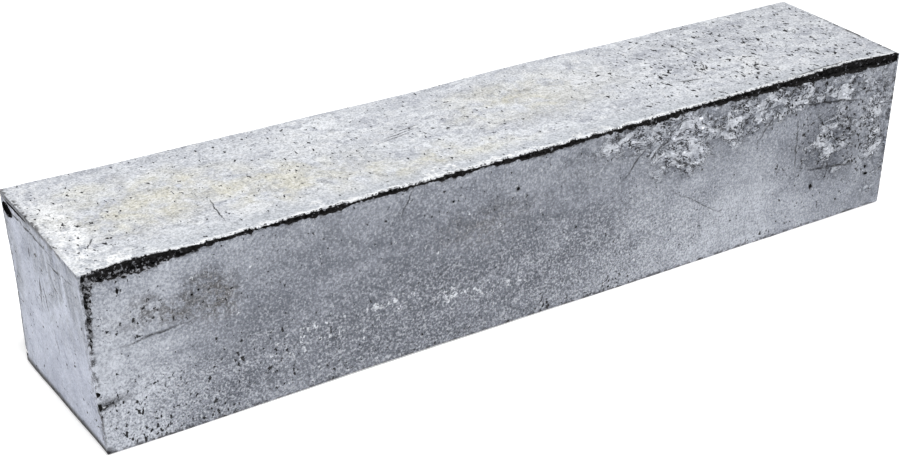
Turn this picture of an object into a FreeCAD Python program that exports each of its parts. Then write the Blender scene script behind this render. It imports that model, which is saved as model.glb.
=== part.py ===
"""A 25 kg lead ballast bar, cast in an open trough mould.

The bar is one casting and nothing else.  X runs along it, the face at -Y is
the one with the unfilled seam, +Z is up, and the origin is under its middle.
Sizes are millimetres and live in the spreadsheet.
"""
import FreeCAD, Part
import math
import os

import Sketcher
from FreeCAD import Vector

SIZES = {
    # the bar as the mould gives it
    "bar_length": 386.0,
    "bar_width": 77.0,
    "bar_height": 75.0,
    "end_draft": 1.6,
    "foot_round": 1.2,
    # thin flash that closes the seam and the edge gap at the end faces
    "end_flash": 0.6,
    # the lip of metal that hangs over the seam
    "lip_thickness": 0.6,
    "lip_overhang": 0.9,
    # unfilled seam along the top of the front face: how far it comes down the
    # front, and how far its lip stands back from the front
    "seam_drop_left": 5.0,
    "seam_drop_middle": 1.9,
    "seam_drop_right": 4.5,
    "lip_setback_left": 1.8,
    "lip_setback_middle": 1.0,
    "lip_setback_right": 3.0,
    "seam_narrows_from_left": 46.0,
    "seam_widens_from_right": 118.0,
    # unfilled edge between the left end and the front: wide at the top, and a
    # hairline below the wide part
    "edge_gap_length": 27.0,
    "edge_gap_width": 4.6,
    "edge_gap_depth": 2.4,
    "hairline_width": 0.8,
    "hairline_depth": 0.6,
    # two nicks low on that edge
    "upper_nick_height": 26.4,
    "upper_nick_radius": 1.2,
    "lower_nick_height": 21.0,
    "lower_nick_radius": 2.2,
    # void near the back top corner of the left end
    "void_radius": 2.2,
    "void_from_back": 6.0,
    "void_below_top": 5.4,
    # the two largest gas holes in the front face
    "middle_hole_radius": 0.7,
    "middle_hole_from_left": 179.8,
    "middle_hole_height": 60.7,
    "right_hole_radius": 1.0,
    "right_hole_from_right": 46.4,
    "right_hole_height": 20.0,
    # cutting shapes reach this far out past the skin that they cut
    "cut_clearance": 1.0,
}

doc = FreeCAD.newDocument("lead_ballast_bar")
sheet = doc.addObject("Spreadsheet::Sheet", "sizes")
for row, (alias, value) in enumerate(SIZES.items(), start=1):
    sheet.set(f"A{row}", alias)
    sheet.set(f"B{row}", str(value))
    sheet.setAlias(f"B{row}", alias)
doc.recompute()

bar = doc.addObject("PartDesign::Body", "ballast_bar")
bar.Label = "ballast_bar"

# lines of the bar that the cuts are placed from
LEFT = "-bar_length / 2"
RIGHT = "bar_length / 2"
FRONT = "-bar_width / 2"
BACK = "bar_width / 2"
TOP = "bar_height"
FOOT = "0 mm"
MIDDLE = "0 mm"


def sized(formula):
    """The formula with each size's name turned into its cell in the sheet."""
    for alias in SIZES:
        formula = formula.replace(alias, f"sizes.{alias}")
    return formula


def left_face(height):
    """How far out the sloping left end is at a height."""
    return f"{LEFT} + end_draft * (1 - ({height}) / bar_height)"


def on_plane(feature, role, away):
    """Lay a feature on one of the body's origin planes, this far along its normal."""
    for plane in bar.Origin.OriginFeatures:
        if plane.Role == role:
            feature.AttachmentSupport = [(plane, "")]
    feature.MapMode = "FlatFace"
    feature.setExpression("AttachmentOffset.Base.z", sized(away))


def outline(name, role, away, corners):
    """A closed sketch through corners, each held by two formulas, across and up."""
    sketch = bar.newObject("Sketcher::SketchObject", name)
    on_plane(sketch, role, away)
    rough = [Vector(math.cos(turn), math.sin(turn), 0)
             for turn in (math.tau * index / len(corners) for index in range(len(corners)))]
    for index, start in enumerate(rough):
        following = (index + 1) % len(rough)
        sketch.addGeometry(Part.LineSegment(start, rough[following]), False)
    for index, corner in enumerate(corners):
        following = (index + 1) % len(corners)
        sketch.addConstraint(Sketcher.Constraint("Coincident", index, 2, following, 1))
        for direction, formula in zip(("DistanceX", "DistanceY"), corner):
            held = sketch.addConstraint(Sketcher.Constraint(direction, -1, 1, index, 1, 1.0))
            sketch.setExpression(f"Constraints[{held}]", sized(formula))
    return sketch


def cut_through(name, sections):
    """Cut the straight-sided body that runs from section to section."""
    cut = bar.newObject("PartDesign::SubtractiveLoft", name)
    cut.Profile = sections[0]
    cut.Sections = sections[1:]
    cut.Ruled = True


def cut_hollow(name, radius, across, along, height):
    """Cut a round hollow about a point of the skin."""
    hollow = bar.newObject("PartDesign::SubtractiveSphere", name)
    on_plane(hollow, "XY_Plane", height)
    hollow.setExpression("Radius", sized(radius))
    hollow.setExpression("AttachmentOffset.Base.x", sized(across))
    hollow.setExpression("AttachmentOffset.Base.y", sized(along))


def cast_block():
    """The block as it fell from the mould: ends lean in to the foot."""
    side = outline("side_outline", "XZ_Plane", MIDDLE, [
        (LEFT, TOP),
        (f"{LEFT} + end_draft", FOOT),
        (f"{RIGHT} - end_draft", FOOT),
        (RIGHT, TOP),
    ])
    block = bar.newObject("PartDesign::Pad", "cast_block")
    block.Profile = side
    block.SideType = "Symmetric"
    block.setExpression("Length", sized("bar_width"))
    doc.recompute()
    return block


def round_foot(block):
    """The four edges that stand on the floor are slightly round."""
    foot = [f"Edge{number}" for number, edge in enumerate(block.Shape.Edges, start=1)
            if edge.BoundBox.ZMax < block.Shape.BoundBox.ZMin + block.Shape.BoundBox.ZLength / 2]
    rounded = bar.newObject("PartDesign::Fillet", "foot_round")
    rounded.Base = (block, foot)
    rounded.setExpression("Radius", sized("foot_round"))
    doc.recompute()


def seam_section(name, along, drop, setback):
    """Across the seam: open to the top and front, and undercut beneath the lip."""
    under_lip = f"{TOP} - lip_thickness"
    lip_edge = f"{FRONT} + {setback}"
    return outline(name, "YZ_Plane", along, [
        (f"{FRONT} - cut_clearance", f"{TOP} + cut_clearance"),
        (lip_edge, f"{TOP} + cut_clearance"),
        (lip_edge, under_lip),
        (f"{lip_edge} + lip_overhang", under_lip),
        (FRONT, f"{TOP} - {drop}"),
        (f"{FRONT} - cut_clearance", f"{TOP} - {drop}"),
    ])


def cut_seam():
    """The seam is a wide wedge at each end and narrow between them."""
    cut_through("seam", [
        seam_section("seam_left", f"{LEFT} + end_flash",
                     "seam_drop_left", "lip_setback_left"),
        seam_section("seam_left_middle", f"{LEFT} + seam_narrows_from_left",
                     "seam_drop_middle", "lip_setback_middle"),
        seam_section("seam_right_middle", f"{RIGHT} - seam_widens_from_right",
                     "seam_drop_middle", "lip_setback_middle"),
        seam_section("seam_right", f"{RIGHT} - end_flash",
                     "seam_drop_right", "lip_setback_right"),
    ])


def gap_section(name, height, width, depth):
    """Across the edge gap: deepest beside the end face, running out to the front."""
    inside = f"{left_face(height)} + end_flash"
    return outline(name, "XY_Plane", height, [
        (inside, f"{FRONT} - cut_clearance"),
        (f"{inside} + {width}", f"{FRONT} - cut_clearance"),
        (f"{inside} + {width}", FRONT),
        (inside, f"{FRONT} + {depth}"),
    ])


def cut_edge_gap():
    """The gap narrows to a hairline, which runs down to the foot."""
    cut_through("edge_gap", [
        gap_section("gap_top", f"{TOP} - lip_thickness", "edge_gap_width", "edge_gap_depth"),
        gap_section("gap_end", f"{TOP} - edge_gap_length", "hairline_width", "hairline_depth"),
        gap_section("gap_foot", "-cut_clearance", "hairline_width", "hairline_depth"),
    ])


def cut_hollows():
    """Nicks, the corner void and the largest gas holes."""
    cut_hollow("upper_nick", "upper_nick_radius",
               left_face("upper_nick_height"), FRONT, "upper_nick_height")
    cut_hollow("lower_nick", "lower_nick_radius",
               left_face("lower_nick_height"), FRONT, "lower_nick_height")
    cut_hollow("corner_void", "void_radius",
               left_face("bar_height - void_below_top"), f"{BACK} - void_from_back",
               f"{TOP} - void_below_top")
    cut_hollow("middle_hole", "middle_hole_radius",
               f"{LEFT} + middle_hole_from_left", FRONT, "middle_hole_height")
    cut_hollow("right_hole", "right_hole_radius",
               f"{RIGHT} - right_hole_from_right", FRONT, "right_hole_height")


def check_document():
    """Stop if any object failed to build or the bar isn't one valid solid."""
    for thing in doc.Objects:
        if "Invalid" in thing.State or "Error" in thing.State:
            raise RuntimeError(f"{thing.Name} failed: {thing.State}")
    if bar.Shape.isNull() or not bar.Shape.isValid() or len(bar.Shape.Solids) != 1:
        raise RuntimeError("the bar is not one valid solid")


round_foot(cast_block())
cut_seam()
cut_edge_gap()
cut_hollows()
doc.recompute()
check_document()

os.makedirs("parts", exist_ok=True)
bar.Shape.exportStep(f"parts/{bar.Label}.step")
box = bar.Shape.optimalBoundingBox(True)
print(f"{bar.Label}: {box.XLength:.2f} x {box.YLength:.2f} x {box.ZLength:.2f} mm,"
      f" {bar.Shape.Volume / 1000:.1f} cm3, {len(bar.Shape.Faces)} faces")
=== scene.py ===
"""Looks of a cast lead ballast bar: its skin, its unfilled seam and a plain studio.

Lengths in this file are millimetres, and MM turns them into the frame's metres.
The bar lies along X, the face at -Y has the seam, and the open pour face is on top.
"""
import math

import bmesh
import bpy
from mathutils import Matrix, Vector
from mathutils.kdtree import KDTree


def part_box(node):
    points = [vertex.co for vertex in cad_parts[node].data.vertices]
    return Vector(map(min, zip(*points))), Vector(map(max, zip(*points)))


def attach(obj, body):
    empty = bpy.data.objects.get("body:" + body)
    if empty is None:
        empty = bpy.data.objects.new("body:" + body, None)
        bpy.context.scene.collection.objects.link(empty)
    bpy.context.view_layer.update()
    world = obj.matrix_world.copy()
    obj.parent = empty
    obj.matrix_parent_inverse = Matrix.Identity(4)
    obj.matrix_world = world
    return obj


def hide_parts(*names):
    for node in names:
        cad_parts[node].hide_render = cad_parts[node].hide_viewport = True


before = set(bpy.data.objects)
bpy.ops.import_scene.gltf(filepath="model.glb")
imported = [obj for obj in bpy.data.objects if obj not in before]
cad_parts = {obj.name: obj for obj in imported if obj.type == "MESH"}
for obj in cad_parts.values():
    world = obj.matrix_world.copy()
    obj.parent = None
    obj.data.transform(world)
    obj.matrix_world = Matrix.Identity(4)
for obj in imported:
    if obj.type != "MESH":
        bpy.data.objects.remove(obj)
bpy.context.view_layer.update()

MM = 0.001

# ------------------------------------------------------------------ the bar's sizes
low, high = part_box("ballast_bar")
LENGTH = (high.x - low.x) / MM
WIDTH = (high.y - low.y) / MM
HEIGHT = (high.z - low.z) / MM
LEFT, RIGHT = -LENGTH / 2, LENGTH / 2
FRONT, BACK = -WIDTH / 2, WIDTH / 2
END_DRAFT = 1.6
FOOT_ROUND = 1.2
END_FLASH = 0.6
LIP = 0.7
# mesh spacing of the skin and of the cuts, extra cuts where the skin is lapped, how far
# a cutter stands clear of the skin, and how close two places are to count as one
SKIN_GRID = 1.5
CUT_GRID = 0.6
LAP_GRID_CUTS = 1
CLEAR = 2.0
TOUCH = 0.01
# the facing of skin on the front, and the longest distance to a cut that is kept
FACES_FRONT = -0.9
FAR_FROM_CUT = 20

# the seam along the top of the front: place along the bar, drop down the front
# face, and how far the lip stands back from it
SEAM = [
    (LEFT + END_FLASH, 4.2, 0.8), (-173, 5.0, 2.8), (-160, 3.8, 1.9), (-153, 3.2, 1.0),
    (-147, 1.9, 0.8), (-141, 2.1, 1.1), (-135, 1.4, 0.8), (-120, 1.5, 0.8), (-108, 2.1, 1.1),
    (-92, 2.3, 1.1), (-86, 0.9, 0.5), (-69, 2.4, 2.2), (-60, 1.0, 0.7), (-53, 1.2, 0.7),
    (-42, 2.3, 1.3), (-32, 1.5, 1.0), (-13, 2.2, 1.4), (1, 2.6, 1.3), (30, 1.5, 1.2),
    (58, 3.0, 2.0), (74, 1.7, 2.0), (105, 2.8, 2.8), (134, 3.0, 2.4), (167, 4.4, 4.0),
    (184, 4.6, 2.2), (RIGHT - END_FLASH, 4.5, 1.2),
]
SEAM_DEEPEST_DROP, SEAM_DEEPEST_SETBACK = 5.2, 4.2
# the gap down the edge between the left end and the front: height, width, depth
EDGE_GAP = [
    (HEIGHT - LIP, 4.6, 2.4), (66, 2.8, 1.8), (57, 1.9, 1.3), (50, 1.1, 0.8), (44, 0.5, 0.4),
]
GAP_WIDEST, GAP_DEEPEST = 5.2, 2.6

# where thin folds of skin froze one on another: middle, reach each way and strength
LAPS = [
    ((62, FRONT - 3, 66), (52, 20, 17), 1.0), ((128, FRONT - 3, 66), (84, 20, 10), 1.0),
    ((70, FRONT - 3, 54), (24, 20, 12), 1.0), ((97, FRONT - 3, 63), (32, 20, 16), 1.0),
    ((154, FRONT - 3, 61), (30, 20, 4), 1.0), ((184, FRONT - 3, 42), (14, 20, 40), 0.9),
    ((157, FRONT - 3, 40), (25, 20, 25), 0.7),
]


# ------------------------------------------------------------------ modelling by hand
def choose(piece, where, kind="verts"):
    """In edit mode, select only the vertices, edges or faces that pass a test."""
    bpy.ops.mesh.select_mode(type={"verts": "VERT", "edges": "EDGE", "faces": "FACE"}[kind])
    bpy.ops.mesh.select_all(action="DESELECT")
    mesh = bmesh.from_edit_mesh(piece.data)
    for part in getattr(mesh, kind):
        part.select_set(where(part))
    mesh.select_flush_mode()
    bmesh.update_edit_mesh(piece.data)


def near(value, target):
    """Whether a length in metres is at a place in millimetres."""
    return abs(value - target * MM) < TOUCH * MM


def start(piece, name):
    """Name a new primitive, put its scale in its mesh and open it."""
    piece.name = name
    piece.data.name = name
    bpy.ops.object.transform_apply(location=True, rotation=True, scale=True)
    bpy.ops.object.mode_set(mode="EDIT")
    return piece


def block(name, low_corner, high_corner):
    """A box between two corners, left open in edit mode."""
    bpy.ops.object.select_all(action="DESELECT")
    middle = (Vector(low_corner) + Vector(high_corner)) / 2
    size = (Vector(high_corner) - Vector(low_corner)) * MM
    bpy.ops.mesh.primitive_cube_add(size=1, location=middle * MM, scale=size)
    return start(bpy.context.object, name)


def slice_across(axis, places):
    """Cut the whole mesh with planes square to an axis."""
    for place in places:
        bpy.ops.mesh.select_all(action="SELECT")
        bpy.ops.mesh.bisect(plane_co=axis * place * MM, plane_no=axis)


def left_face(height):
    """How far out the sloping left end is at a height."""
    return LEFT + END_DRAFT * (1 - height / HEIGHT)


def shift(*offset):
    """Move what is selected."""
    bpy.ops.transform.translate(value=Vector(offset) * MM)


def push(piece, place, offset, reach):
    """Pull the skin at a place a little, and the skin around it with it."""
    spot = Vector(place) * MM
    mesh = bmesh.from_edit_mesh(piece.data)
    nearest = min((vert.co - spot).length_squared for vert in mesh.verts)
    choose(piece, lambda vert: (vert.co - spot).length_squared <= nearest)
    bpy.ops.transform.translate(value=Vector(offset) * MM, use_proportional_edit=True,
                                proportional_edit_falloff="SMOOTH", proportional_size=reach * MM)


def steps(start_at, end_at, step):
    """Places between two ends, evenly spaced and close to a step apart."""
    count = max(1, round(abs(end_at - start_at) / step))
    return [start_at + (end_at - start_at) * index / count for index in range(1, count)]


def roughen(piece, name, kind, grain, depth, only="", **settings):
    """Displace the skin, or only a group of it, along its normals with a texture of a grain."""
    texture = bpy.data.textures.new(name, kind)
    texture.noise_scale = grain * MM
    for setting, value in settings.items():
        setattr(texture, setting, value)
    relief = piece.modifiers.new(name, "DISPLACE")
    relief.texture = texture
    relief.texture_coords = "LOCAL"
    relief.strength = depth * MM
    relief.mid_level = 0.5
    relief.vertex_group = only
    bpy.ops.object.modifier_apply(modifier=name)


def carve(piece, cutters):
    """Take cutters out of a piece, with the cutters' material on the cut."""
    bpy.ops.object.select_all(action="DESELECT")
    for cutter in cutters:
        cutter.select_set(True)
    bpy.context.view_layer.objects.active = cutters[0]
    if len(cutters) > 1:
        bpy.ops.object.join()
    tool = bpy.context.object
    bpy.ops.object.select_all(action="DESELECT")
    piece.select_set(True)
    bpy.context.view_layer.objects.active = piece
    cut = piece.modifiers.new("cut", "BOOLEAN")
    cut.object = tool
    cut.operation = "DIFFERENCE"
    cut.solver = "MANIFOLD"
    cut.material_mode = "TRANSFER"
    bpy.ops.object.modifier_apply(modifier="cut")
    bpy.data.objects.remove(tool)


# ------------------------------------------------------------------ the casting
def lap_share(place):
    """How strongly a place on the skin, in metres, is lapped, from 0 to 1."""
    shares = [0]
    for middle, reach, strength in LAPS:
        offset = Vector(place) / MM - Vector(middle)
        away = Vector([offset[axis] / reach[axis] for axis in range(3)]).length
        shares.append(min(1, 2 * strength * (1 - away)))
    return max(shares)


def fold_laps(bar):
    """Crumple the skin where thin folds froze one on another: broad folds, then creases."""
    lapped = bar.vertex_groups.new(name="lapped")
    for vert in bar.data.vertices:
        if vert.normal.y < FACES_FRONT:
            lapped.add([vert.index], lap_share(vert.co), "REPLACE")
    roughen(bar, "folded", "CLOUDS", 9, 2.0, "lapped", noise_type="HARD_NOISE", noise_depth=1)
    roughen(bar, "crumpled", "CLOUDS", 3.2, 1.5, "lapped", noise_type="HARD_NOISE",
            noise_depth=2)


def cast_block():
    """The block as it left the mould: ends leaning in, foot rounded, edges a little wavy."""
    bar = block("cast_bar", (LEFT, FRONT, 0), (RIGHT, BACK, HEIGHT))
    choose(bar, lambda vert: vert.co.z < HEIGHT / 2 * MM and vert.co.x < 0)
    shift(END_DRAFT, 0, 0)
    choose(bar, lambda vert: vert.co.z < HEIGHT / 2 * MM and vert.co.x > 0)
    shift(-END_DRAFT, 0, 0)
    choose(bar, lambda edge: all(near(vert.co.z, 0) for vert in edge.verts), "edges")
    bpy.ops.mesh.bevel(offset=FOOT_ROUND * MM, segments=3)
    slice_across(Vector((0, 0, 1)), steps(FOOT_ROUND, HEIGHT, SKIN_GRID))
    slice_across(Vector((0, 1, 0)), steps(FRONT + FOOT_ROUND, BACK - FOOT_ROUND, SKIN_GRID))
    slice_across(Vector((1, 0, 0)), steps(LEFT + END_DRAFT, RIGHT - END_DRAFT, SKIN_GRID))
    for place, offset, reach in (
            ((LEFT, BACK, HEIGHT), (-0.4, 0, 0.6), 45), ((-20, BACK, HEIGHT), (0, 0, -0.4), 50),
            ((42, BACK, HEIGHT), (0, 0, 0.7), 60), ((RIGHT, FRONT, HEIGHT), (0, 0, -0.7), 50),
            ((LEFT, FRONT, HEIGHT), (-0.6, 0, 0), 40), ((LEFT, FRONT, 0), (0.9, 0, 0), 40),
            ((LEFT, BACK, 0), (-0.7, 0, 0), 40), ((-60, FRONT, 0), (0, 0.4, 0.4), 110)):
        push(bar, place, offset, reach)
    choose(bar, lambda face: face.normal.y < FACES_FRONT
           and lap_share(face.calc_center_median()) > 0, "faces")
    bpy.ops.mesh.subdivide(number_cuts=LAP_GRID_CUTS)
    bpy.ops.object.mode_set(mode="OBJECT")
    fold_laps(bar)
    roughen(bar, "slump", "CLOUDS", 55, 0.7)
    roughen(bar, "hammered", "CLOUDS", 7, 0.16)
    return bar


def seam_cutter():
    """What the metal left unfilled beneath the lip."""
    cutter = block("seam", (LEFT + END_FLASH, FRONT - CLEAR, HEIGHT - CLEAR),
                   (RIGHT - END_FLASH, FRONT, HEIGHT + CLEAR))
    slice_across(Vector((0, 0, 1)), [HEIGHT - LIP])
    slice_across(Vector((1, 0, 0)), [along for along, drop, setback in SEAM[1:-1]])
    for along, drop, setback in SEAM:
        at_station = lambda vert: near(vert.co.x, along)
        choose(cutter, lambda vert: at_station(vert) and near(vert.co.z, HEIGHT - CLEAR))
        shift(0, 0, CLEAR - drop)
        choose(cutter, lambda vert: at_station(vert) and near(vert.co.y, FRONT))
        shift(0, setback, 0)
    slice_across(Vector((1, 0, 0)), steps(LEFT + END_FLASH, RIGHT - END_FLASH, CUT_GRID))
    slice_across(Vector((0, 0, 1)), steps(HEIGHT - SEAM_DEEPEST_DROP, HEIGHT - LIP, CUT_GRID))
    slice_across(Vector((0, 1, 0)), steps(FRONT - CLEAR, FRONT + SEAM_DEEPEST_SETBACK, CUT_GRID))
    bpy.ops.object.mode_set(mode="OBJECT")
    roughen(cutter, "uneven", "CLOUDS", 7, 1.4)
    roughen(cutter, "ragged", "CLOUDS", 2.0, 2.6, noise_depth=3)
    return cutter


def edge_gap_cutter():
    """What the metal left unfilled down the edge beside the left end."""
    gap_end = EDGE_GAP[-1][0]
    cutter = block("edge_gap", (0, FRONT - CLEAR, gap_end), (1, FRONT, HEIGHT - LIP))
    slice_across(Vector((0, 0, 1)), [height for height, width, depth in EDGE_GAP[1:-1]])
    for height, width, depth in EDGE_GAP:
        inside = left_face(height) + END_FLASH
        choose(cutter, lambda vert: near(vert.co.z, height) and near(vert.co.x, 0)
               and near(vert.co.y, FRONT))
        shift(0, depth, 0)
        choose(cutter, lambda vert: near(vert.co.z, height) and near(vert.co.x, 0))
        shift(inside, 0, 0)
        choose(cutter, lambda vert: near(vert.co.z, height) and near(vert.co.x, 1))
        shift(inside + width - 1, 0, 0)
    slice_across(Vector((0, 0, 1)), steps(gap_end, HEIGHT - LIP, CUT_GRID))
    slice_across(Vector((0, 1, 0)), steps(FRONT - CLEAR, FRONT + GAP_DEEPEST, CUT_GRID))
    gap_start = LEFT + END_FLASH
    slice_across(Vector((1, 0, 0)), steps(gap_start, gap_start + GAP_WIDEST, CUT_GRID))
    bpy.ops.object.mode_set(mode="OBJECT")
    roughen(cutter, "ragged", "CLOUDS", 1.6, 1.3, noise_depth=3)
    return cutter


def hollow(name, middle, reach):
    """A ragged round hollow about a place on the skin."""
    bpy.ops.object.select_all(action="DESELECT")
    bpy.ops.mesh.primitive_ico_sphere_add(subdivisions=3, radius=1, location=Vector(middle) * MM,
                                          scale=Vector(reach) * MM)
    ball = start(bpy.context.object, name)
    bpy.ops.object.mode_set(mode="OBJECT")
    roughen(ball, "ragged", "CLOUDS", 1.2, min(reach) * 0.7)
    return ball


def hollows():
    """Nicks on the left edge, the corner void and the larger gas holes."""
    places = [
        ("upper_nick", (left_face(26.4), FRONT, 26.4), (1.6, 1.0, 1.2)),
        ("lower_nick", (left_face(21), FRONT, 21), (1.7, 1.0, 1.8)),
        ("corner_void", (left_face(70), BACK - 5.6, 69.6), (1.8, 5.2, 2.9)),
        ("end_fold", (left_face(73), BACK - 14, 73.2), (0.7, 12, 0.6)),
        ("foot_chip", (left_face(4), BACK - 1, 5), (0.9, 1.4, 2.0)),
        ("middle_hole", (-13.2, FRONT, 60.7), (0.8, 0.8, 0.8)),
        ("second_hole", (-43.3, FRONT, 63), (0.55, 0.6, 0.55)),
        ("right_hole", (146.6, FRONT, 20), (0.9, 0.9, 1.3)),
        ("corner_hole", (181, FRONT, 17.9), (0.9, 0.8, 0.8)),
        ("corner_hole_above", (180.4, FRONT, 21.4), (0.7, 0.7, 0.9)),
        ("slit", (-180.2, FRONT, 65.3), (0.5, 0.6, 1.3)),
        ("left_hole", (-153.1, FRONT, 55.6), (0.5, 0.6, 0.5)),
        ("left_hole_above", (-150.4, FRONT, 56.8), (0.5, 0.6, 0.5)),
        ("seam_hole", (104.7, FRONT, 68.9), (0.9, 0.8, 1.0)),
    ]
    return [hollow(*place) for place in places]


def gouge():
    """A tapering scrape in the bare metal, from the lower nick along the front."""
    return hollow("gouge", (left_face(21) + 4.5, FRONT, 21.4), (4.6, 0.5, 0.9))


def note_seam_distance(bar):
    """Store, at each point of the skin, how many millimetres it is from the nearest cut."""
    mesh = bar.data
    cut_points = {corner for face in mesh.polygons if face.material_index > 0
                  for corner in face.vertices}
    tree = KDTree(len(cut_points))
    for index in cut_points:
        tree.insert(mesh.vertices[index].co, index)
    tree.balance()
    distance = mesh.attributes.new("from_cut", "FLOAT", "POINT")
    for index, vert in enumerate(mesh.vertices):
        distance.data[index].value = min(FAR_FROM_CUT, tree.find(vert.co)[2] / MM)


# ------------------------------------------------------------------ materials
def srgb(code):
    """A colour written as sRGB hex, turned to the linear values that shaders use."""
    parts = [int(code[place:place + 2], 16) / 255 for place in (1, 3, 5)]
    linear = [part / 12.92 if part <= 0.04045 else ((part + 0.055) / 1.055) ** 2.4 for part in parts]
    return (*linear, 1)


def per(size):
    """The texture scale whose features are this many millimetres across."""
    return 1 / (size * MM)


def add(tree, kind, wires=None, out=None, **settings):
    """Add one node with its settings and what feeds its sockets, and give back an output."""
    node = tree.nodes.new("ShaderNode" + kind)
    for setting, value in settings.items():
        setattr(node, setting, value)
    for name, value in (wires or {}).items():
        named = [each for each in node.inputs if each.enabled and each.name == name]
        socket = named[0] if named else node.inputs[name]
        if isinstance(value, bpy.types.NodeSocket):
            tree.links.new(value, socket)
        else:
            socket.default_value = value
    return node.outputs[out] if out else next((each for each in node.outputs if each.enabled), None)


def patches(tree, point, places):
    """How strongly a point lies in any of several oval patches.

    Each patch has its middle, its reach each way, its strength and, if it is turned,
    the angles in degrees.
    """
    strongest = None
    for middle, reach, strength, *turned in places:
        angles = turned[0] if turned else (0, 0, 0)
        centred = add(tree, "Mapping", {
            "Vector": point, "Location": Vector(middle) * MM, "Scale": Vector(reach) * MM,
            "Rotation": [math.radians(angle) for angle in angles]}, vector_type="TEXTURE")
        spot = add(tree, "TexGradient", {"Vector": centred}, out="Fac", gradient_type="SPHERICAL")
        spot = add(tree, "Math", {0: spot, 1: 2 * strength}, operation="MULTIPLY")
        if strongest:
            spot = add(tree, "Math", {0: strongest, 1: spot}, operation="MAXIMUM")
        strongest = spot
    return add(tree, "Clamp", {"Value": strongest})


def wandering(tree, point, size, reach):
    """The point moved about by up to half a reach, so that what is drawn on it has ragged edges."""
    drift = add(tree, "TexNoise", {"Vector": point, "Scale": per(size), "Detail": 5.0,
                                   "Roughness": 0.65}, out="Color")
    drift = add(tree, "VectorMath", {0: drift, 1: (-0.5, -0.5, -0.5)}, operation="ADD")
    drift = add(tree, "VectorMath", {0: drift, "Scale": reach * MM}, operation="SCALE")
    return add(tree, "VectorMath", {0: point, 1: drift}, operation="ADD")


def mould_skin(tree, ragged, mottle, speckle):
    """Colour of the faces that lay against the mould: blotched blue-grey, with a brown stain."""
    dark_zone = patches(tree, ragged, [
        ((-55, FRONT, 33), (140, 50, 52), 0.95), ((-130, FRONT, 14), (50, 50, 26), 0.5),
        ((20, FRONT, 10), (60, 50, 22), 0.5), ((152, FRONT, 40), (30, 30, 26), 0.7)])
    light_zone = patches(tree, ragged, [
        ((-183, FRONT, 24), (36, 40, 44), 0.9), ((-165, FRONT, 68), (56, 40, 16), 0.4),
        ((85, FRONT, 14), (70, 40, 30), 0.9), ((182, FRONT, 44), (16, 30, 50), 0.6),
        ((60, FRONT, 62), (44, 30, 16), 0.6)])
    stain = patches(tree, ragged, [
        ((-160, FRONT, 53), (28, 12, 8), 0.65), ((-143, FRONT, 52), (11, 12, 10), 0.65),
        ((-30, FRONT, 50), (34, 12, 10), 0.35)])
    bloom = patches(tree, ragged, [
        ((-72, FRONT, 27), (13, 10, 5), 1.0), ((-36, FRONT, 22), (18, 10, 5), 1.0),
        ((-14, FRONT, 20), (16, 10, 4), 0.8), ((-105, FRONT, 22), (36, 10, 12), 0.45)])
    drawn = add(tree, "Mapping", {"Vector": ragged, "Rotation": (0, math.radians(-24), 0),
                                  "Scale": (1, 1, 4)})
    band = add(tree, "TexNoise", {"Vector": drawn, "Scale": per(34), "Detail": 6.0,
                                  "Roughness": 0.6})

    share = add(tree, "MapRange", {"Value": mottle, "From Min": 0.32, "From Max": 0.68})
    colour = add(tree, "Mix", {"Factor": share, "A": srgb("#7a7f8a"), "B": srgb("#aeb2bb")},
                 data_type="RGBA")
    share = add(tree, "MapRange", {"Value": dark_zone, "To Max": 0.9})
    colour = add(tree, "Mix", {"Factor": share, "A": colour, "B": srgb("#6f737d")},
                 data_type="RGBA")
    share = add(tree, "MapRange", {"Value": band, "From Min": 0.48, "From Max": 0.68,
                                   "To Max": 0.5})
    colour = add(tree, "Mix", {"Factor": share, "A": colour, "B": srgb("#a3a7b1")},
                 data_type="RGBA")
    share = add(tree, "MapRange", {"Value": band, "From Min": 0.46, "From Max": 0.3,
                                   "To Max": 0.4})
    colour = add(tree, "Mix", {"Factor": share, "A": colour, "B": srgb("#5c6068")},
                 data_type="RGBA")
    share = add(tree, "MapRange", {"Value": mottle, "From Min": 0.25, "From Max": 0.65,
                                   "To Max": light_zone})
    colour = add(tree, "Mix", {"Factor": share, "A": colour, "B": srgb("#bdc1ca")},
                 data_type="RGBA")
    share = add(tree, "MapRange", {"Value": speckle, "From Min": 0.42, "From Max": 0.54,
                                   "To Max": stain})
    colour = add(tree, "Mix", {"Factor": share, "A": colour, "B": srgb("#5a595a")},
                 data_type="RGBA")
    flake = add(tree, "Math", {0: bloom, 1: 0.12, 2: speckle}, operation="MULTIPLY_ADD")
    share = add(tree, "MapRange", {"Value": flake, "From Min": 0.645, "From Max": 0.67,
                                   "To Max": 0.9})
    return add(tree, "Mix", {"Factor": share, "A": colour, "B": srgb("#dfe2e8")},
               data_type="RGBA")


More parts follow.
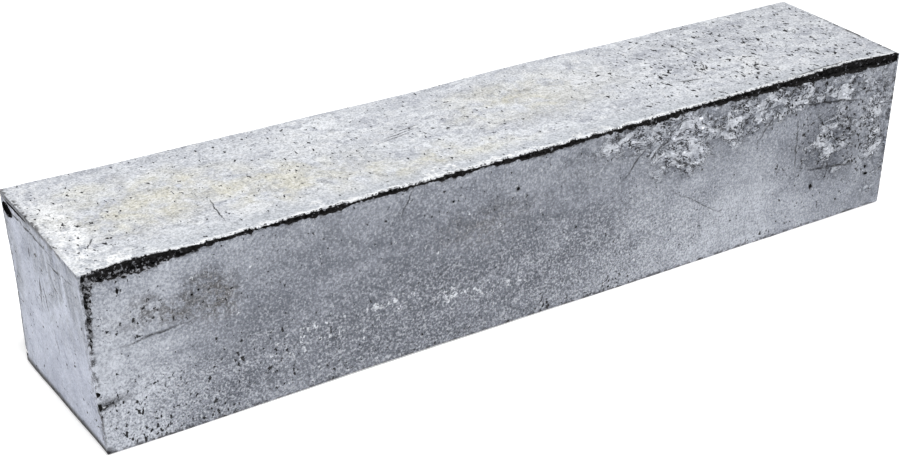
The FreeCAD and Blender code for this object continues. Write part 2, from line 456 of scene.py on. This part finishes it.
def end_skin(tree, point, ragged, mottle, speckle):
    """Colour of the ends: smooth and bluish low down, blotched and streaked towards the top, with
    painted shade under the top's rim and a dark line down the back edge.
    """
    run = add(tree, "Mapping", {"Vector": point, "Rotation": (math.radians(28), 0, 0),
                                "Scale": (1, 2.4, 1)})
    streak = add(tree, "TexNoise", {"Vector": run, "Scale": per(17), "Detail": 7.0,
                                    "Roughness": 0.66, "Distortion": 0.9})
    blotched = patches(tree, ragged, [
        ((0, -12, 62), (900, 50, 34), 0.7), ((0, BACK, 50), (900, 16, 70), 0.7),
        ((0, 0, HEIGHT), (900, 80, 10), 0.7), ((0, 4, 48), (900, 20, 16), 0.5)])
    # painted shade: a thin dark line under the top's rim; also a dark line down the back edge
    rim_shade_and_back_line = patches(tree, point, [
        ((0, BACK, 40), (900, 2.2, 90), 0.8), ((0, 0, HEIGHT - 0.5), (900, 120, 2.0), 0.8)])
    share = add(tree, "MapRange", {"Value": mottle, "From Min": 0.3, "From Max": 0.66})
    colour = add(tree, "Mix", {"Factor": share, "A": srgb("#969bac"), "B": srgb("#bfc4d2")},
                 data_type="RGBA")
    share = add(tree, "MapRange", {"Value": streak, "From Min": 0.60, "From Max": 0.42,
                                   "To Max": blotched})
    share = add(tree, "Math", {0: share, 1: 0.85}, operation="MULTIPLY")
    colour = add(tree, "Mix", {"Factor": share, "A": colour, "B": srgb("#71767f")},
                 data_type="RGBA")
    share = add(tree, "MapRange", {"Value": speckle, "From Min": 0.60, "From Max": 0.44,
                                   "To Max": rim_shade_and_back_line})
    return add(tree, "Mix", {"Factor": share, "A": colour, "B": srgb("#34363c")},
               data_type="RGBA")


def pour_skin(tree, point, ragged, mottle, speckle):
    """Colour of the open top: pale skimmed oxide, cream in the middle, with a painted highlight along
    the lip and the left end's top edge.
    """
    skimmed = add(tree, "Mapping", {"Vector": ragged, "Rotation": (0, 0, math.radians(28)),
                                    "Scale": (1, 3.6, 1)})
    skim = add(tree, "TexNoise", {"Vector": skimmed, "Scale": per(20), "Detail": 10.0,
                                  "Roughness": 0.72, "Distortion": 0.6})
    cream = patches(tree, ragged, [
        ((-150, 2, HEIGHT), (54, 28, 20), 0.9), ((-105, -10, HEIGHT), (50, 20, 20), 0.9),
        ((-45, -24, HEIGHT), (60, 12, 20), 0.9), ((25, 8, HEIGHT), (56, 26, 20), 0.7)])
    smooth = patches(tree, ragged, [
        ((52, 14, HEIGHT), (30, 26, 20), 0.9), ((118, -14, HEIGHT), (34, 14, 20), 0.9),
        ((-70, 16, HEIGHT), (40, 18, 20), 0.7), ((-120, -30, HEIGHT), (50, 9, 20), 0.7)])
    rim = patches(tree, point, [((0, FRONT + 4, HEIGHT), (900, 9, 20), 0.45)])
    # painted highlight along the lip and along the top edge at the left end
    lip_and_end_edge_highlight = patches(tree, ragged, [
        ((-179, FRONT + 2, HEIGHT), (24, 6, 4), 1.0), ((-40, FRONT + 1, HEIGHT), (130, 4, 4), 0.8),
        ((-187, -8, HEIGHT), (14, 60, 6), 0.6), ((168, FRONT + 2, HEIGHT), (34, 4, 4), 0.9)])

    share = add(tree, "MapRange", {"Value": skim, "From Min": 0.36, "From Max": 0.62})
    colour = add(tree, "Mix", {"Factor": share, "A": srgb("#9c9fa8"), "B": srgb("#cfd2d6")},
                 data_type="RGBA")
    share = add(tree, "MapRange", {"Value": mottle, "From Min": 0.38, "From Max": 0.6,
                                   "To Max": cream})
    share = add(tree, "Math", {0: share, 1: 0.6}, operation="MULTIPLY")
    colour = add(tree, "Mix", {"Factor": share, "A": colour, "B": srgb("#c9c4ac")},
                 data_type="RGBA")
    share = add(tree, "MapRange", {"Value": mottle, "From Min": 0.48, "From Max": 0.56,
                                   "To Max": smooth})
    colour = add(tree, "Mix", {"Factor": share, "A": colour, "B": srgb("#cbcdd0")},
                 data_type="RGBA")
    share = add(tree, "MapRange", {"Value": speckle, "From Min": 0.54, "From Max": 0.70,
                                   "To Max": 0.75})
    colour = add(tree, "Mix", {"Factor": share, "A": colour, "B": srgb("#d6d6d7")},
                 data_type="RGBA")
    share = add(tree, "MapRange", {"Value": speckle, "From Min": 0.45, "From Max": 0.28,
                                   "To Max": 0.7})
    colour = add(tree, "Mix", {"Factor": share, "A": colour, "B": srgb("#76797f")},
                 data_type="RGBA")
    colour = add(tree, "Mix", {"Factor": rim, "A": colour, "B": srgb("#aaaeb4")},
                 data_type="RGBA")
    share = add(tree, "MapRange", {"Value": speckle, "From Min": 0.42, "From Max": 0.52,
                                   "To Max": lip_and_end_edge_highlight})
    return add(tree, "Mix", {"Factor": share, "A": colour, "B": srgb("#e1e2e3")},
               data_type="RGBA")


def gas_pits(tree, point, ragged, mottle):
    """Where gas left a black speck: ragged pinholes, in swarms."""
    pitted = patches(tree, ragged, [
        ((130, -5, HEIGHT), (110, 60, 30), 0.78), ((-182, 0, HEIGHT), (26, 50, 30), 0.42),
        ((-60, 5, HEIGHT), (150, 50, 30), 0.2), ((-150, FRONT, 8), (84, 40, 34), 0.62),
        ((0, FRONT, 0), (400, 40, 10), 0.5), ((158, FRONT, 38), (44, 40, 44), 0.9),
        ((-160, FRONT, 52), (34, 30, 12), 0.5),
        ((0, BACK, 30), (400, 30, 60), 0.4)])
    swarm = add(tree, "MapRange", {"Value": mottle, "From Min": 0.36, "From Max": 0.62,
                                   "To Max": pitted})
    round_holes = add(tree, "Mapping", {"Vector": point, "Scale": (1.25, 0.75, 1)})
    hole = add(tree, "TexNoise", {"Vector": round_holes, "Scale": per(2.1), "Detail": 2.0,
                                  "Roughness": 0.6})
    hole = add(tree, "Math", {0: swarm, 1: 0.135, 2: hole}, operation="MULTIPLY_ADD")
    return add(tree, "MapRange", {"Value": hole, "From Min": 0.69, "From Max": 0.715})


def scratches(tree, point):
    """Hairlines and creases: on the pour face, on the front and round the folded corner."""
    return patches(tree, wandering(tree, point, 6, 3), [
        ((-132.5, -18.5, HEIGHT), (12, 0.35, 4), 0.8, (0, 0, 82)),
        ((-42, 4, HEIGHT), (12, 0.3, 4), 0.7, (0, 0, 11)),
        ((-45, 1.6, HEIGHT), (9, 0.3, 4), 0.6, (0, 0, 11)),
        ((-38, 7, HEIGHT), (9, 0.3, 4), 0.6, (0, 0, 12)),
        ((-180, -17, HEIGHT), (3, 0.5, 4), 0.8, (0, 0, 60)),
        ((110.7, 14, HEIGHT), (15, 0.5, 4), 0.5, (0, 0, 90)),
        ((107.5, -4, HEIGHT), (8, 0.5, 4), 0.5, (0, 0, 62)),
        ((92, -14, HEIGHT), (9, 0.8, 4), 0.6, (0, 0, -12)),
        ((150, FRONT + 4.5, HEIGHT), (24, 0.6, 4), 1.0, (0, 0, 3)),
        ((-168, FRONT, 44), (18, 4, 0.8), 0.6, (0, -6, 0)),
        ((-186, FRONT, 21.6), (9, 4, 2.8), 0.6, (0, -4, 0)),
        ((-64, FRONT, 68), (8, 4, 0.45), 0.6, (0, -62, 0)),
        ((154, FRONT, 59.2), (24, 4, 0.7), 1.0, (0, 7.7, 0)),
        ((135.3, FRONT, 44), (17, 4, 0.5), 0.7, (0, 88, 0)),
        ((158, FRONT, 27), (17, 4, 0.9), 1.0, (0, 7, 0)),
        ((80, FRONT, 30), (22, 4, 0.35), 0.4, (0, 32, 0)),
        ((46, FRONT, 57), (14, 4, 0.6), 0.7, (0, -42, 0)),
        ((92, FRONT, 61), (13, 4, 0.9), 1.0, (0, 22, 0)),
        ((58, FRONT, 60), (9, 4, 0.9), 1.0, (0, -38, 0)),
        ((72, FRONT, 50), (10, 4, 0.8), 0.9, (0, 30, 0)),
        ((118, FRONT, 57), (11, 4, 0.7), 0.8, (0, -50, 0)),
        ((LEFT, 12, 70), (4, 26, 0.7), 0.9, (2, 0, 0)),
        ((LEFT, -18, 66), (4, 16, 0.6), 0.8, (-8, 0, 0)),
        ((LEFT, 8, 47), (4, 0.7, 9), 0.9, (10, 0, 0)),
        ((LEFT, 3, 45), (4, 0.6, 8), 0.8, (-14, 0, 0)),
        ((LEFT, 14, 60), (4, 1.0, 3), 0.8), ((LEFT, -2, 30), (4, 0.6, 7), 0.6, (-12, 0, 0))])


def laps(tree, point, ragged, top):
    """Thin folds of skin that froze one on another, like crumpled foil.

    Gives how strongly a point is lapped, which fold lies there, how crumpled it is, and the
    fine creases in it.
    """
    lapped = patches(tree, ragged, LAPS)
    lapped = add(tree, "MapRange", {"Value": top, "To Min": lapped, "To Max": 0.0})
    folded = add(tree, "Mapping", {"Vector": point, "Rotation": (0, math.radians(34), 0),
                                   "Scale": (1, 1, 1.9)})
    folds = add(tree, "TexNoise", {"Vector": folded, "Scale": per(10), "Detail": 4.0,
                                   "Roughness": 0.6, "Distortion": 0.5})
    folds = add(tree, "Math", {0: lapped, 1: 0.26, 2: folds}, operation="MULTIPLY_ADD")
    crumple = add(tree, "TexNoise", {"Vector": folded, "Scale": per(7), "Detail": 2.0,
                                     "Roughness": 0.55, "Distortion": 0.8})
    crumple = add(tree, "Math", {0: crumple, 1: lapped}, operation="MULTIPLY")
    crease = add(tree, "TexNoise", {"Vector": folded, "Scale": per(3.4), "Detail": 3.0,
                                    "Roughness": 0.7, "Distortion": 1.4})
    return lapped, folds, crumple, crease


def cast_lead():
    """As-cast lead: soft blue-grey metal under a dull oxide.

    The mould's faces are sandy and blotched, and darkest where the metal chilled last.  The
    open pour face is paler, with cream oxide in the middle and skim marks.  Gas leaves pits,
    and where the pour folded over itself near the seam it looks like crumpled foil.
    """
    material = bpy.data.materials.new("cast_lead")
    material.use_nodes = True
    tree = material.node_tree
    tree.nodes.clear()
    point = add(tree, "TexCoord", out="Object")
    ragged = wandering(tree, point, 16, 34)
    facing = add(tree, "SeparateXYZ", {"Vector": add(tree, "NewGeometry", out="True Normal")}).node
    top = add(tree, "MapRange", {"Value": facing.outputs["Z"], "From Min": 0.5, "From Max": 0.8})
    end = add(tree, "Math", {0: facing.outputs["X"]}, operation="ABSOLUTE")
    end = add(tree, "MapRange", {"Value": end, "From Min": 0.5, "From Max": 0.8})

    # patterns that the colour and the relief share; the mould's grit is nearer 0.3 mm
    # across, too fine to show, so its grain is drawn at 0.9
    grain = add(tree, "TexNoise", {"Vector": point, "Scale": per(0.9), "Detail": 2.0,
                                   "Roughness": 0.75})
    speckle = add(tree, "TexNoise", {"Vector": point, "Scale": per(3.2), "Detail": 4.0,
                                     "Roughness": 0.75})
    mottle = add(tree, "TexNoise", {"Vector": point, "Scale": per(15), "Detail": 8.0,
                                    "Roughness": 0.66, "Distortion": 0.4})
    cloud = add(tree, "TexNoise", {"Vector": point, "Scale": per(60), "Detail": 4.0})

    # each face's own skin
    colour = add(tree, "Mix", {"Factor": end, "A": mould_skin(tree, ragged, mottle, speckle),
                               "B": end_skin(tree, point, ragged, mottle, speckle)}, data_type="RGBA")
    colour = add(tree, "Mix", {"Factor": top, "A": colour,
                               "B": pour_skin(tree, point, ragged, mottle, speckle)},
                 data_type="RGBA")
    share = add(tree, "MapRange", {"Value": cloud, "From Min": 0.3, "From Max": 0.7,
                                   "To Max": 0.14})
    colour = add(tree, "Mix", {"Factor": share, "A": colour, "B": srgb("#5f636c")},
                 data_type="RGBA")

    # sandy grain, strongest low in the middle of the front and fainter on the ends
    sandy = patches(tree, ragged, [((-20, FRONT, 14), (150, 30, 34), 1.0),
                                   ((-150, FRONT, 10), (60, 30, 26), 0.8)])
    fine = add(tree, "MapRange", {"Value": end, "To Min": 0.45, "To Max": 0.3})
    coarse = add(tree, "Math", {0: sandy, 1: 0.3, 2: fine}, operation="MULTIPLY_ADD")
    share = add(tree, "MapRange", {"Value": grain, "From Min": 0.50, "From Max": 0.82,
                                   "To Max": coarse})
    colour = add(tree, "Mix", {"Factor": share, "A": colour, "B": srgb("#eef0f5")},
                 data_type="RGBA")
    share = add(tree, "MapRange", {"Value": grain, "From Min": 0.53, "From Max": 0.28,
                                   "To Max": coarse})
    colour = add(tree, "Mix", {"Factor": share, "A": colour, "B": srgb("#26282d")},
                 data_type="RGBA")

    # folds of foil, one plate over another, bright on top; painted shade in the creases, painted
    # highlights on them, and painted shadow along the torn edges
    lapped, folds, crumple, crease = laps(tree, point, ragged, top)
    plate = add(tree, "MapRange", {"Value": folds, "From Min": 0.71, "From Max": 0.72})
    upper = add(tree, "MapRange", {"Value": folds, "From Min": 0.795, "From Max": 0.805})
    lower = add(tree, "MapRange", {"Value": folds, "From Min": 0.67, "From Max": 0.66,
                                   "To Max": lapped})
    # painted shade in the creases, and painted highlights on them
    shade = add(tree, "MapRange", {"Value": crease, "From Min": 0.50, "From Max": 0.32,
                                   "To Max": lapped})
    crease_highlight = add(tree, "MapRange", {"Value": crease, "From Min": 0.54, "From Max": 0.70,
                                   "To Max": lapped})
    for layer, tint, cover in ((lower, "#555963", 0.45), (plate, "#b9bdc6", 0.75),
                               (upper, "#cfd2d9", 0.7), (shade, "#3e424a", 0.62),
                               (crease_highlight, "#e6e9ee", 0.7)):
        share = add(tree, "Math", {0: layer, 1: cover}, operation="MULTIPLY")
        colour = add(tree, "Mix", {"Factor": share, "A": colour, "B": srgb(tint)},
                     data_type="RGBA")
    # painted shadow along the torn edges, where one fold overlaps another
    torn_edge_shadow = add(tree, "Math", {0: folds, 1: 0.690, 2: 0.026}, operation="COMPARE")
    upper_torn_edge_shadow = add(tree, "Math", {0: folds, 1: 0.780, 2: 0.022}, operation="COMPARE")
    torn_edge_shadow = add(tree, "Math", {0: torn_edge_shadow, 1: upper_torn_edge_shadow}, operation="MAXIMUM")
    torn_edge_shadow = add(tree, "Math", {0: torn_edge_shadow, 1: lapped}, operation="MULTIPLY")
    torn_edge_shadow = add(tree, "MapRange", {"Value": speckle, "From Min": 0.46, "From Max": 0.50,
                                  "To Max": torn_edge_shadow})
    pit = gas_pits(tree, point, ragged, mottle)
    scratch = scratches(tree, point)
    scratch = add(tree, "MapRange", {"Value": speckle, "From Min": 0.38, "From Max": 0.50,
                                     "To Max": scratch})
    dark = add(tree, "Math", {0: torn_edge_shadow, 1: scratch}, operation="MAXIMUM")
    dark = add(tree, "Math", {0: dark, 1: 0.9}, operation="MULTIPLY")
    dark = add(tree, "Math", {0: dark, 1: pit}, operation="MAXIMUM")
    colour = add(tree, "Mix", {"Factor": dark, "A": colour, "B": srgb("#1d1d20")},
                 data_type="RGBA")

    # speckled grime where the foot stands, and dark specks down the edges beside the ends and along
    # the ends' top edges; at the left end's foot and along its top edge these specks are painted
    # shade, and a solid painted contact shadow runs along the left end's foot
    grime_and_edge_shade = patches(tree, point, [
        ((0, FRONT, 0), (1600, 6, 2.4), 0.9), ((LEFT + 1, FRONT, 20), (2.2, 6, 60), 1.0),
        ((LEFT, 0, 0), (6, 300, 2.6), 0.9), ((RIGHT - 0.8, FRONT, 35), (2.0, 6, 90), 0.7),
        ((RIGHT, -14, HEIGHT), (2.6, 40, 6), 0.8), ((LEFT, 20, HEIGHT), (2.0, 50, 2), 0.8)])
    grime_and_shade = add(tree, "MapRange", {"Value": speckle, "From Min": 0.47, "From Max": 0.56,
                                   "To Max": grime_and_edge_shade})
    # a solid painted contact shadow along the foot of the left end
    foot_contact_shadow = patches(tree, point, [((LEFT + END_DRAFT, 0, 0), (5, 500, 4.6), 1.0)])
    grime_and_shade = add(tree, "Math", {0: grime_and_shade, 1: 0.85}, operation="MULTIPLY")
    grime_and_shade = add(tree, "Math", {0: grime_and_shade, 1: foot_contact_shadow}, operation="MAXIMUM")
    colour = add(tree, "Mix", {"Factor": grime_and_shade, "A": colour, "B": srgb("#1f1e21")},
                 data_type="RGBA")

    # beside the cuts: soot on the front, and a painted highlight along the lip's edge on the top
    gap = add(tree, "Attribute", out="Fac", attribute_name="from_cut")
    soot = add(tree, "MapRange", {"Value": gap, "From Min": 1.2, "From Max": 0.0, "To Max": 0.8})
    soot = add(tree, "MapRange", {"Value": speckle, "From Min": 0.46, "From Max": 0.58,
                                  "To Max": soot})
    colour = add(tree, "Mix", {"Factor": soot, "A": colour, "B": srgb("#1b1a1b")},
                 data_type="RGBA")
    # painted highlight along the lip's edge, on the top only
    lip_highlight = add(tree, "MapRange", {"Value": gap, "From Min": 1.5, "From Max": 0.3, "To Max": top})
    lip_highlight = add(tree, "MapRange", {"Value": speckle, "From Min": 0.42, "From Max": 0.54,
                                  "To Max": lip_highlight})
    colour = add(tree, "Mix", {"Factor": lip_highlight, "A": colour, "B": srgb("#dee0e2")},
                 data_type="RGBA")

    # relief, in millimetres: dents and swells broad enough to catch the light
    dents = add(tree, "TexNoise", {"Vector": point, "Scale": per(2.4), "Detail": 1.0})
    calm = add(tree, "Math", {0: top, 1: end}, operation="MAXIMUM")
    calm = add(tree, "MapRange", {"Value": calm, "To Min": 1.0, "To Max": 0.6})
    dents = add(tree, "Math", {0: dents, 1: calm}, operation="MULTIPLY")
    swells = add(tree, "TexNoise", {"Vector": point, "Scale": per(9), "Detail": 2.0})
    relief = add(tree, "Math", {0: grain, 1: coarse}, operation="MULTIPLY")
    for height, rise in ((dents, 1.0), (swells, 2.2), (crumple, 2.0), (plate, 0.3),
                         (upper, 0.25), (dark, -0.7)):
        relief = add(tree, "Math", {0: height, 1: rise, 2: relief}, operation="MULTIPLY_ADD")
    bump = add(tree, "Bump", {"Height": relief, "Distance": MM, "Strength": 1.0})
    # the open top is dull with oxide, so less of its metal shines through
    rough = add(tree, "MapRange", {"Value": speckle, "From Min": 0.2, "From Max": 0.8,
                                   "To Min": 0.40, "To Max": 0.62})
    rough = add(tree, "Math", {0: top, 1: 0.3, 2: rough}, operation="MULTIPLY_ADD")
    metal = add(tree, "MapRange", {"Value": top, "To Min": 0.6, "To Max": 0.15})
    skin = add(tree, "BsdfPrincipled", {"Base Color": colour, "Metallic": metal,
                                        "Roughness": rough, "Normal": bump})
    add(tree, "OutputMaterial", {"Surface": skin})
    return material


def seam_dross():
    """Dross in the seam: soot-black oxide, rough as cinder, with specks of bare lead, and a painted
    highlight along the lip's thin front edge.
    """
    material = bpy.data.materials.new("seam_dross")
    material.use_nodes = True
    tree = material.node_tree
    tree.nodes.clear()
    point = add(tree, "TexCoord", out="Object")
    crumb = add(tree, "TexNoise", {"Vector": point, "Scale": per(0.9), "Detail": 3.0})
    share = add(tree, "MapRange", {"Value": crumb, "From Min": 0.35, "From Max": 0.65})
    colour = add(tree, "Mix", {"Factor": share, "A": srgb("#040404"), "B": srgb("#191819")},
                 data_type="RGBA")
    crumbly = patches(tree, point, [((LEFT + 3, FRONT, 56), (9, 9, 30), 1.0),
                                    ((LEFT + 20, FRONT, HEIGHT - 4), (24, 9, 3), 0.6)])
    bare = add(tree, "TexNoise", {"Vector": point, "Scale": per(1.8), "Detail": 4.0,
                                  "Roughness": 0.7})
    bare = add(tree, "Math", {0: crumbly, 1: 0.13, 2: bare}, operation="MULTIPLY_ADD")
    share = add(tree, "MapRange", {"Value": bare, "From Min": 0.60, "From Max": 0.68,
                                   "To Max": 0.7})
    colour = add(tree, "Mix", {"Factor": share, "A": colour, "B": srgb("#a9abb2")},
                 data_type="RGBA")
    height = add(tree, "SeparateXYZ", {"Vector": point}, out="Z")
    # painted highlight along the thin front edge of the lip
    lip_highlight = add(tree, "MapRange", {"Value": height, "From Min": (HEIGHT - 0.8) * MM,
                                  "From Max": (HEIGHT - 0.5) * MM})
    lip_highlight = add(tree, "MapRange", {"Value": crumb, "From Min": 0.40, "From Max": 0.48,
                                  "To Max": lip_highlight})
    colour = add(tree, "Mix", {"Factor": lip_highlight, "A": colour, "B": srgb("#eef0f4")},
                 data_type="RGBA")
    bump = add(tree, "Bump", {"Height": crumb, "Distance": MM, "Strength": 1.0})
    skin = add(tree, "BsdfPrincipled", {"Base Color": colour, "Roughness": 0.9,
                                        "Specular IOR Level": 0.2, "Normal": bump})
    add(tree, "OutputMaterial", {"Surface": skin})
    return material


# ------------------------------------------------------------------ studio
def pale_floor():
    """A white floor that keeps the bar's shadow."""
    material = bpy.data.materials.new("pale_floor")
    material.use_nodes = True
    tree = material.node_tree
    tree.nodes.clear()
    matt = add(tree, "BsdfDiffuse", {"Color": srgb("#dcdcdc")})
    white = add(tree, "Emission", {"Color": (1, 1, 1, 1), "Strength": 0.5})
    seen = add(tree, "AddShader", {0: matt, 1: white})
    rays = add(tree, "LightPath").node
    looking = add(tree, "Math", {0: rays.outputs["Is Camera Ray"],
                                 1: rays.outputs["Is Glossy Ray"]}, operation="MAXIMUM")
    looking = add(tree, "Math", {0: looking, 1: rays.outputs["Is Transmission Ray"]},
                  operation="MAXIMUM")
    shown = add(tree, "MixShader", {0: looking, 1: matt, 2: seen})
    add(tree, "OutputMaterial", {"Surface": shown})
    bpy.ops.object.select_all(action="DESELECT")
    bpy.ops.mesh.primitive_plane_add(size=6)
    floor = bpy.context.object
    floor.name = "floor"
    floor.data.materials.append(material)


def softbox(name, place, size, power):
    """A soft square lamp that faces the bar; its place and size are metres, its power watts."""
    lamp = bpy.data.lights.new(name, "AREA")
    lamp.shape = "SQUARE"
    lamp.size = size
    lamp.energy = power
    stand = bpy.data.objects.new(name, lamp)
    bpy.context.scene.collection.objects.link(stand)
    stand.location = place
    stand.rotation_euler = Vector(place).to_track_quat("Z", "Y").to_euler()


def studio_world():
    """Even pale light from all round, seen as white."""
    world = bpy.data.worlds.new("studio")
    world.use_nodes = True
    bpy.context.scene.world = world
    tree = world.node_tree
    tree.nodes.clear()
    rays = add(tree, "LightPath").node
    looking = add(tree, "Math", {0: rays.outputs["Is Camera Ray"],
                                 1: rays.outputs["Is Transmission Ray"]}, operation="MAXIMUM")
    lit = add(tree, "Background", {"Color": (1, 1, 1, 1), "Strength": 0.30})
    white = add(tree, "Background", {"Color": (1, 1, 1, 1), "Strength": 1.0})
    shown = add(tree, "MixShader", {0: looking, 1: lit, 2: white})
    add(tree, "OutputWorld", {"Surface": shown})


def camera():
    """Stands off the left front and looks down the bar."""
    azimuth, elevation, roll = -34.02, 29.24, 0.80
    lens = bpy.data.cameras.new("camera")
    lens.sensor_width = 36
    lens.lens = 67.72
    lens.shift_x = -0.0556
    lens.shift_y = 0.0567
    stand = bpy.data.objects.new("camera", lens)
    bpy.context.scene.collection.objects.link(stand)
    turn = (Matrix.Rotation(math.radians(azimuth), 4, "Z")
            @ Matrix.Rotation(math.radians(90 - elevation), 4, "X")
            @ Matrix.Rotation(math.radians(roll), 4, "Z"))
    stand.matrix_world = Matrix.Translation(Vector((-353.65, -530.71, 354.45)) * MM) @ turn
    bpy.context.scene.camera = stand


# ------------------------------------------------------------------ the whole scene
lead = cast_lead()
dross = seam_dross()
bar = cast_block()
bar.data.materials.append(lead)
for cutters, finish in (([seam_cutter()], dross), ([edge_gap_cutter()], dross),
                        (hollows(), dross), ([gouge()], lead)):
    for cutter in cutters:
        cutter.data.materials.append(finish)
    carve(bar, cutters)
note_seam_distance(bar)
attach(bar, "root")
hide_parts("ballast_bar")

pale_floor()
softbox("overhead", (-0.1, -0.45, 1.4), 0.5, 26)
softbox("left", (-1.5, 0.2, 0.9), 0.7, 7)
studio_world()
camera()
bpy.context.scene.view_settings.view_transform = "Standard"
